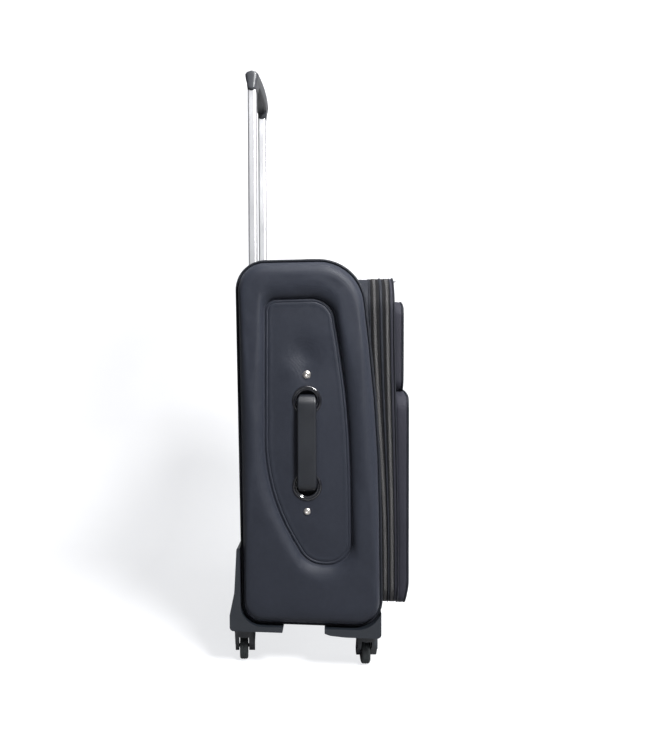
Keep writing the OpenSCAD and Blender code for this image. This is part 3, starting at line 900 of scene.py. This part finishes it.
def make_lid():
    """Padded lid with a side band, a piped edge, a piped seam and a crowned face."""
    back = MAIN_ZIP_Y - 6.0
    section = [(back, -3.2), (back, -0.4), (back - 2.6, 0.5), (back - 5.4, 0.6)]
    section += [(LID_Y + 2.4, -0.2), (LID_Y + 0.9, -1.2), (LID_Y, -3.2)]
    rings = [[ring_point(i, y, out) for i in range(len(OPENING))] for y, out in section]
    for inset in (5, 8, 12, 17, 22, 27):
        rings.append(inset_ring(OPENING, OPENING_OUT, inset, lid_face))
    close_in(rings, FRONT_CENTRE, CLOSING, lambda x, z, share: lid_face(x, z))
    lid = loft("lid_cloth", rings)
    place(lid, "lid", FRONT, ["lid_panel"])
    thicken(lid)
    place(around("lid_piping", cord_section(LID_Y + 1.3, 0.5, 1.9)), "lid", PIPING)
    place(around("lid_band_piping", cord_section(back - 1.4, 0.3, 1.2)), "lid", PIPING)


def make_lid_lining():
    """Lining that lies just inside the lid's face and is turned up at its edge."""
    rings = []
    turn_up = ((2.6, 10), (2.9, 6.5), (4, 4.6), (6, 4.1))
    for inset, gap in (*turn_up, (10, LINING_GAP), (16, LINING_GAP), (25, LINING_GAP)):
        rings.append(inset_ring(OPENING, OPENING_OUT, inset, lambda x, z: lid_face(x, z) + gap))

    def slack_face(x, z, share):
        return lid_face(x, z) + LINING_GAP + 0.5 * fbm((x, 21, z), 50) * (1 - share)

    close_in(rings, FRONT_CENTRE, CLOSING, slack_face)
    lining = loft("lid_lining_cloth", rings)
    place(lining, "lid", LINING, ["lid_lining"])


def make_stitches(name, points):
    """A row of thread stitches on the lid, proud of the cloth, along a line of 3D points."""
    length, gap, r = 2.9, 1.5, 0.32
    up = Vector((0, -1, 0))
    spans = [b - a for a, b in zip(points, points[1:])]
    total = sum(span.length for span in spans)
    verts, faces = [], []
    spot, walked = 0, 0.0
    for k in range(int(total / (length + gap))):
        ends = []
        for d in (k * (length + gap), k * (length + gap) + length):
            while walked + spans[spot].length < d and spot < len(spans) - 1:
                walked += spans[spot].length
                spot += 1
            ends.append(points[spot] + spans[spot] * ((d - walked) / spans[spot].length))
        side = (ends[1] - ends[0]).cross(up).normalized()
        faces += rod_faces(len(verts), 4)
        for f, lift in ((0, 0.0), (0.18, 0.55), (0.5, 0.75), (0.82, 0.55), (1, 0.0)):
            p = ends[0].lerp(ends[1], f) + up * lift * r * 1.6
            verts += [p + side * r, p + up * r, p - side * r, p - up * r]
    place(new_mesh(name, verts, faces), "lid", THREAD)


class Pocket:
    """A padded front pocket: outline, the depth of its face, its zip, its piping and its stitching."""

    def __init__(self, name, half_w, z0, z1, low_r, high_r, zip_z, plane, swell, top_fall, bottom_fall):
        self.name = name
        self.half_w, self.z0, self.z1 = half_w, z0, z1
        self.low_r, self.high_r = low_r, high_r
        self.zip_z, self.plane = zip_z, plane
        self.swell, self.top_fall, self.bottom_fall = swell, top_fall, bottom_fall

    def depth(self, x, z):
        """Depth of the face: held at the zip and the piping, filled out in between, with soft creases."""
        edge = min(self.half_w - abs(x), z - self.z0, self.z1 - z)
        off_zip = 1 - math.exp(-(((z - self.zip_z) / 16) ** 2)) * (1 - smooth(120, 140, abs(x)))
        high = smooth(self.z0, self.zip_z, z)
        puff = self.swell * (0.55 + 0.45 * high) * smooth(0, 55, edge)
        crease = 1.1 * fbm((x * 0.6, 4, z), 60) + 0.5 * fbm((x, 11, z * 0.7), 24)
        sag_z = self.z0 + 0.22 * (self.z1 - self.z0)
        sag = 1.4 * math.exp(-(((z - sag_z) / 30) ** 2)) * math.cos(x / 60)
        y = self.plane - (puff + (crease + sag) * smooth(3, 30, edge)) * off_zip
        y += self.top_fall * (1 - smooth(0, 15, self.z1 - z)) ** 1.5
        return y + self.bottom_fall * (1 - smooth(0, 45, z - self.z0)) ** 1.6

    def loop(self, inset):
        low_r, high_r = max(2, self.low_r - inset), max(2, self.high_r - inset)
        return rect_loop(self.half_w - inset, self.z0 + inset, self.z1 - inset, low_r, high_r, 360)

    def build(self):
        """The pouch from its root on the lid, round its piped edge and across its face, and its trim."""
        base = self.loop(0)
        out = normals(base)
        rings = []
        for share, inset in ((0, 0.6), (0, -0.1), (0.3, -0.9), (0.6, -1.0), (0.85, -0.5), (1.0, 0.6)):
            ring = []
            for p, n in zip(base, out):
                q = p - n * inset
                front = self.depth(q.x - n.x * 6, q.y - n.y * 6) + 2.6
                root = LID_Y + layer_shift(LID_Y, q.x, q.y)
                ring.append((q.x, root + (front - root) * share, q.y))
            rings.append(ring)
        for inset, lag in ((1.6, 1.2), (3.0, 0.3), (5, 0), (8, 0), (12, 0), (17, 0)):
            rings.append(inset_ring(base, out, inset, lambda x, z: self.depth(x, z) + lag))
        centre = Vector((0, (self.z0 + self.z1) / 2))
        close_in(rings, centre, [1 - j / 16 for j in range(1, 17)], lambda x, z, share: self.depth(x, z))
        cloth = loft(self.name + "_cloth", rings, cap_start=True)
        place(cloth, "lid", FRONT, [self.name + "_pocket"])
        self.make_piping()
        self.make_zip()

    def make_piping(self):
        base = self.loop(0.8)
        out = normals(base)
        fronts = [self.depth(p.x - n.x * 6, p.y - n.y * 6) + 1.9 for p, n in zip(base, out)]
        rings = []
        for c in circle(2.0, 10):
            ring = [p + n * c.y for p, n in zip(base, out)]
            rings.append([(q.x, front + c.x, q.y) for q, front in zip(ring, fronts)])
        place(loft(self.name + "_piping", rings, wrap=True), "lid", PIPING)
        seam = self.loop(6.5)
        make_stitches(self.name + "_seam", [self.on_face(p.x, p.y, 0.1) for p in seam + seam[:1]])

    def on_face(self, x, z, lift):
        return Vector((x, self.depth(x, z) - lift, z))

    def make_zip(self):
        """Tape, coil and two stitched hems of the pocket zip."""
        half = 132
        xs = [-half + 2 * half * k / 66 for k in range(67)]
        strips = []
        for low in (self.zip_z - 5.6, self.zip_z + 0.35):
            high = low + 5.25
            section = ((low, -0.6), (low, 0.33), ((low + high) / 2, 0.55), (high, 0.33), (high, -0.6))
            rings = [[self.on_face(x, z, lift) for z, lift in section] for x in xs]
            strips.append(loft("strip", rings, cap_start=True, cap_end=True))
        stands_for = ["pocket_zips"] if self.name == "upper" else []
        place(join(self.name + "_zip_tape", strips), "lid", TAPE, stands_for)
        verts, faces = [], []
        count = int(4 * half / COIL_PITCH)
        for k in range(count):
            x = -half + 1.5 + (2 * half - 3) * k / (count - 1)
            side = 1 if k % 2 else -1
            faces += rod_faces(len(verts), 3)
            for dz, width in ((2.7, 0.8), (1.8, 1), (-0.6, 1), (-1.2, 0.7)):
                for dx, up in ((-0.52, 0.4), (-0.42, 1.1), (0.42, 1.1), (0.52, 0.4)):
                    verts.append(self.on_face(x + dx * width, self.zip_z + side * dz, up))
        place(new_mesh(self.name + "_zip_teeth", verts, faces), "lid", TEETH)
        hems = []
        for side, word in ((-1, "low"), (1, "high")):
            section = [(self.zip_z + side * (7.0 + 2 * c.x), 0.2 + c.y) for c in circle(0.75, 8)]
            rings = [[self.on_face(x, z, lift) for z, lift in section] for x in xs]
            hems.append(loft("hem", rings, cap_start=True, cap_end=True))
            points = [self.on_face(x, self.zip_z + side * 9.4, 0.15) for x in xs]
            make_stitches(self.name + "_hem_" + word, points)
        place(join(self.name + "_zip_hems", hems), "lid", FRONT)


def make_pockets():
    """A small flat pocket above a larger, fuller one; each face falls back at its top and bottom edge."""
    upper = {"half_w": 158, "z0": 457, "z1": 604, "low_r": 20, "high_r": 24, "zip_z": 578}
    lower = {"half_w": 168, "z0": 105, "z1": 456, "low_r": 20, "high_r": 30, "zip_z": 424}
    Pocket("upper", **upper, plane=-136.0, swell=1.2, top_fall=5.0, bottom_fall=0.4).build()
    Pocket("lower", **lower, plane=-143.5, swell=4.4, top_fall=9.0, bottom_fall=6.0).build()


# ---------------- handles, eyelets and screws


def strap_section(width):
    """Flat strap with round edges, a cushioned outer face and a raised rib near each edge."""
    half = width / 2
    out = []
    for k in range(25):
        s = -1 + 2 * k / 24
        rib = 0.35 * math.exp(-((abs(s) - 0.84) / 0.05) ** 2)
        out.append((s * half, STRAP_T / 2 * (1 - abs(s) ** 12) ** 0.5 + 0.5 * (1 - s * s) + rib))
    for k in range(1, 24):
        s = 1 - 2 * k / 24
        out.append((s * half, -STRAP_T / 2 * (1 - abs(s) ** 12) ** 0.5))
    return out


def strap_path(rise, drop, to_space, side):
    """A strap's centre line: up out of one eyelet, round a soft bend, across, and back down."""
    leg = EYELET_PITCH / 2 + 9 - STRAP_T / 2
    bend = 12.5
    top = rise - STRAP_T / 2
    flat = [Vector((-leg, -drop + (top - bend + drop) * k / 8)) for k in range(8)]
    for k in range(9):
        a = math.pi / 2 * k / 8
        flat.append(Vector((-leg + bend - bend * math.cos(a), top - bend + bend * math.sin(a))))
    half = len(flat)
    for k in range(1, 20):
        s = k / 20
        flat.append(Vector((-leg + bend + (2 * leg - 2 * bend) * s, top + 0.9 * math.sin(math.pi * s))))
    flat += [Vector((-p.x, p.y)) for p in reversed(flat[:half])]
    path = []
    for i, p in enumerate(flat):
        t = (flat[min(i + 1, len(flat) - 1)] - flat[max(i - 1, 0)]).normalized()
        up = to_space(Vector((-t.y, t.x))) - to_space(Vector((0, 0)))
        squeeze = 0.86 + 0.14 * smooth(0, 8, p.y)
        path.append((to_space(p), side * squeeze, up))
    return path


# Turned outlines of (radius, height): the eyelet, the well behind it, and the screw's head.
EYELET = [(16.3, -7.5), (16.3, 0.3), (16.6, 1.2), (17.3, 1.7), (18.1, 1.6), (18.6, 1.2), (19.1, 1.6)]
EYELET += [(20, 2.4), (21.2, 2.65), (22.4, 2.45), (23.4, 1.7), (23.9, 0.8), (24, 0.2), (23.6, -0.3)]
EYELET += [(21.2, -0.6), (21.1, -7.5)]
WELL = [(0, -9), (15, -9), (16.5, -7.6), (16.5, -0.8), (16.8, -0.8), (16.8, -9.4), (0, -9.4)]
DOME = [(0, -1), (0.9, -1), (1.5, -0.35), (2.1, -0.12), (3.4, -0.45), (4.6, -1.1), (5.35, -1.9)]
DOME += [(5.6, -2.6), (5.6, -3.6), (6.3, -3.6), (6.5, -4.1), (2, -4.4), (0, -4.4)]


def make_eyelets(name, centres, axis, node):
    rings = [lathe(name + "_ring", EYELET, centre, axis, 72) for centre in centres]
    place(join(name, rings), "case", GLOSS, [node])


def make_side_handle():
    """Cushioned strap on the left side, held in two gloss eyelets, with a screw beyond each end."""
    base = PANEL_X + 10
    outwards = (-1, 0, 0)

    def in_side(p):
        return Vector((-base - p.y, HANDLE_Y, HANDLE_Z + p.x))

    path = strap_path(rise=HALF_W - base - 1, drop=24, to_space=in_side, side=Vector((0, 1, 0)))
    strap = sweep("side_strap_cushion", path, strap_section(31.5))
    place(strap, "side_strap", STRAP, ["side_handle"])
    centres = [(-base - 0.05, HANDLE_Y, HANDLE_Z + s * EYELET_PITCH / 2) for s in (-1, 1)]
    make_eyelets("side_eyelets", centres, outwards, "side_handle_eyelets")
    cups = [lathe("side_well", WELL, c, outwards, 48) for c in centres]
    place(join("side_handle_wells", cups), "case", PIPING)
    head_x = mm_box("handle_screws")[0].x
    heads = [(head_x, HANDLE_Y, HANDLE_Z + s * SCREW_PITCH / 2) for s in (-1, 1)]
    screws = [lathe("screw", DOME, head, outwards, 40) for head in heads]
    place(join("side_screws", screws), "case", SCREW, ["handle_screws"])


def make_top_handle():
    """The same strap and eyelets on the top, without screws."""

    def on_top(p):
        return Vector((p.x, TOP_HANDLE_Y, CASE_TOP + p.y))

    path = strap_path(rise=14, drop=20, to_space=on_top, side=Vector((0, -1, 0)))
    strap = sweep("top_strap_cushion", path, strap_section(30))
    place(strap, "top_strap", STRAP, ["top_handle"])
    centres = [(s * EYELET_PITCH / 2, TOP_HANDLE_Y, CASE_TOP + 0.1) for s in (-1, 1)]
    make_eyelets("top_eyelets", centres, (0, 0, 1), "top_handle_eyelets")


# ---------------- trolley grip

GRIP_Z = 976
GRIP_HALF = 100
GRIP_H = 35
END_W = 6
# How high the hand span is hollowed from below, and where the collars round the tubes begin and are full.
HOLLOW_H = 12.9
COLLAR_X = (66, 74)
# The grip's half depth at heights above the tube ends: a flared shoulder under a narrow crown.
GRIP_DEPTHS = [(0, 7.2), (12, 8.6), (22, 10.6), (28, 11.5), (30, 11), (31.5, 8.2), (33, 7.4), (GRIP_H, 7)]


def grip_depth(h):
    """Half depth of the grip at height h above the tube ends."""
    for (a, depth_a), (b, depth_b) in zip(GRIP_DEPTHS, GRIP_DEPTHS[1:]):
        if h <= b:
            return depth_a + (depth_b - depth_a) * smooth(a, b, h)
    return GRIP_DEPTHS[-1][1]


def edge_round(distance, radius):
    """Share of the full depth left at a distance from a rounded edge."""
    return math.sqrt(max(0, 1 - (1 - min(1, distance / radius)) ** 2)) + 0.12


def make_grip():
    """One moulded grip: collars on the tubes, a hollowed hand span, and ends rounded over."""
    straight = GRIP_HALF - END_W
    xs = [-GRIP_HALF + END_W * (1 - math.cos(math.pi / 2 * k / 6)) for k in range(7)]
    xs += [straight * (2 * k / 72 - 1) for k in range(1, 72)]
    xs += [-x for x in reversed(xs[:7])]
    rings = []
    for x in xs:
        end = max(0, (abs(x) - straight) / END_W)
        squeeze = math.sqrt(max(0, 1 - end ** 2)) * 0.62 + 0.38
        low = HOLLOW_H * (1 - smooth(*COLLAR_X, abs(x))) + 3 * end ** 2
        high = GRIP_H - 3 * end ** 2
        bow = -3.6 * math.cos(math.pi / 2 * x / GRIP_HALF)
        rear, front = [], []
        for k in range(19):
            h = low + (high - low) * k / 18
            half = grip_depth(h) * squeeze * min(1, edge_round(h - low, 1.6), edge_round(high - h, 1.4))
            rear.append((x, TUBE_Y + bow + half, GRIP_Z + h))
            front.append((x, TUBE_Y + bow - half, GRIP_Z + h))
        rings.append(rear + front[::-1])
    grip = loft("moulded_grip", rings, cap_start=True, cap_end=True)
    place(grip, "trolley", SATIN, ["grip_body"])


# ---------------- castor wheels

# Half outlines of (radius, distance from the wheel's face); the other half mirrors them.
TYRE = [(13.4, 0.8), (17, 0.45), (19.6, 0.4), (21, 1.2), (21.7, 2.8), (21.95, 5), (21.6, 5.3), (21.6, 6)]
TYRE += [(22, 6.3)]
HUB_DISC = [(3.1, 2), (5.6, 1.7), (6.2, 3.2), (10.8, 3.6), (11.6, 1.5), (13.6, 1.1)]


def make_wheel_part(name, half_outline, foot, axis, count):
    outline = half_outline + [(r, WHEEL_W - across) for r, across in reversed(half_outline)]
    return lathe(name, outline, foot, axis, count)


def make_wheels():
    """A tyre and a hub for each castor."""
    turn = Matrix.Rotation(SWIVEL, 3, "Z")
    for end, stem_y in STEMS.items():
        for hand, sign in (("left", -1), ("right", 1)):
            name = "wheel_" + end + "_" + hand
            rear_face = Vector((TRAIL, WHEEL_OFFSET + WHEEL_W / 2, WHEEL_R))
            foot = Vector((sign * STEM_X, stem_y, 0)) + turn @ rear_face
            axis = turn @ Vector((0, -1, 0))
            tyre = make_wheel_part(name + "_tyre", TYRE, foot, axis, 80)
            place(tyre, name, TREAD, [name])
            hub = make_wheel_part(name + "_hub", HUB_DISC, foot, axis, 48)
            place(hub, name, HUB)


# ---------------- finishes of the frame's own pieces


def dress(names, material, edge=0.0, segments=2):
    """Finish, and a small moulded edge radius, for pieces that keep their own shape."""
    for name in names:
        obj = NODES[name]
        obj.data.materials.clear()
        obj.data.materials.append(material)
        if edge:
            mod = obj.modifiers.new("round", "BEVEL")
            mod.width = edge * MM
            mod.segments = segments
            mod.limit_method = "ANGLE"
            mod.angle_limit = math.radians(25)
            mod.harden_normals = True


def make_frame_finishes():
    """Materials for the CAD's own pieces, and a moulded edge where the real one has it."""
    sides = ("left", "right")
    dress(["rear_guard_" + s for s in sides], PLASTIC, 2.2, 4)
    dress(["front_bracket_" + s for s in sides], PLASTIC, 2.0, 4)
    dress(["castor_" + e + "_" + s for e in STEMS for s in sides], PLASTIC, 0.9, 3)
    dress(["trolley_bezel", "tube_foot_bracket"], PLASTIC, 0.8, 3)
    dress(["grip_underside", "lock_blocks"], SATIN, 0.5)
    dress(["push_button"], SATIN, 1.3, 4)
    dress(["inner_tubes", "outer_tubes"], TUBE)
    dress(["push_rods", "lock_pin_left", "lock_pin_right"], STEEL)
    dress(["lining_back"], LINING)
    dress(["side_boards"], LINING)
    dress(["compression_straps"], WEBBING, 0.4)
    dress(["strap_buckle"], PLASTIC, 0.8, 3)
    dress(["lid_hinge_tape"], FRONT)
    sliders = ["main_slider_left", "main_slider_right", "upper_slider", "lower_slider"]
    dress(sliders, PULL, 0.5, 3)
    dress([s.replace("slider", "pull") for s in sliders], PULL, 0.3)


make_lid()
make_lid_lining()
make_pockets()
make_side_handle()
make_top_handle()
make_grip()
make_wheels()
make_frame_finishes()
